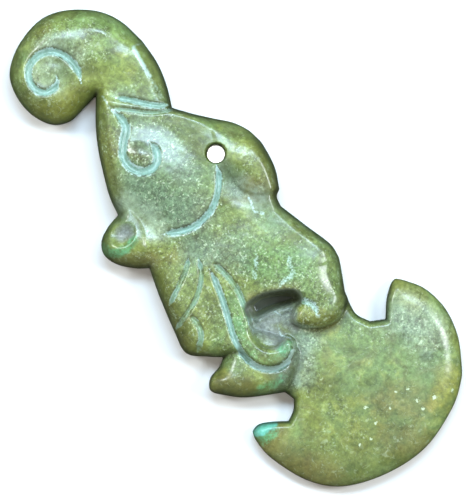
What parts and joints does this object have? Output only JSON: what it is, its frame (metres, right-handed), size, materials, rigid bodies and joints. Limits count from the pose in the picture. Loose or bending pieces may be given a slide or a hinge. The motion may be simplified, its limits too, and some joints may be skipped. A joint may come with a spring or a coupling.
{
  "type": "jade axe pendant",
  "caption": "Flat carved jade pendant: a squatting creature in profile with a scrolled crest over a crescent axe blade, drilled behind the cheek for a cord.",
  "frame": {"origin": "middle of the pendant's length and width, on its flat back", "axes": "+Z out of the carved face, +Y from the blade to the crest, the creature looks towards -X"},
  "size_m": [0.0361, 0.0899, 0.0092],
  "materials": {
    "jade": "waxy polish on mottled olive jade, with pale worn grooves and green stains"
  },
  "bodies": {
    "root": {"axe_pendant": "jade"}
  },
  "joints": []
}
